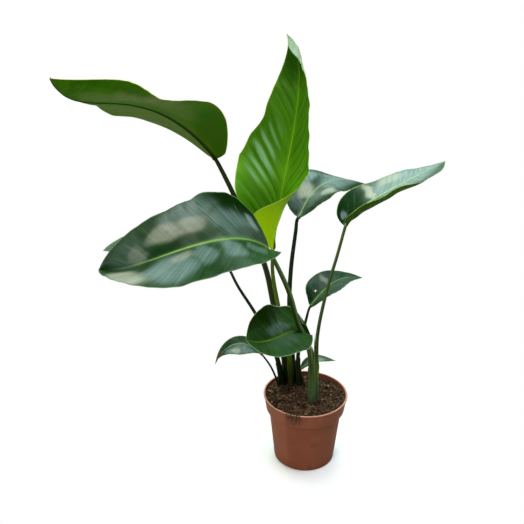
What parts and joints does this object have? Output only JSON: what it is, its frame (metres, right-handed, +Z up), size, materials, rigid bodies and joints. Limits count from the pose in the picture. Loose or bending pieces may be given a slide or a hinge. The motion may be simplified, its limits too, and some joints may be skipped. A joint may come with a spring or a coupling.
{
  "type": "potted plant",
  "caption": "Upright indoor plant with broad pointed paddle leaves on long bare stalks that rise from the soil of a round tapered plastic nursery pot.",
  "frame": {"origin": "centre of the pot's base, on the surface that it stands on", "axes": "+Z up along the pot's axis, -Y towards the side that the picture shows"},
  "size_m": [0.5851, 0.4738, 0.8253],
  "materials": {
    "pot": "matte",
    "soil": "matte",
    "leaf": "satin",
    "young_leaf": "satin",
    "stalk": "satin"
  },
  "bodies": {
    "root": {"pot": "pot", "soil": "soil", "leaf_upper_left": "leaf", "stalk_upper_left": "stalk", "leaf_front_left": "leaf", "stalk_front_left": "stalk", "leaf_newest": "young_leaf", "stalk_newest": "stalk", "leaf_back_right": "leaf", "stalk_back_right": "stalk", "leaf_low_right": "leaf", "stalk_low_right": "stalk", "leaf_low_front": "leaf", "stalk_low_front": "stalk", "leaf_right": "leaf", "stalk_right": "stalk", "leaf_behind_left": "leaf", "stalk_behind_left": "stalk", "leaf_lowest_right": "leaf", "stalk_lowest_right": "stalk", "leaf_lowest_left": "leaf", "stalk_lowest_left": "stalk"}
  },
  "joints": []
}
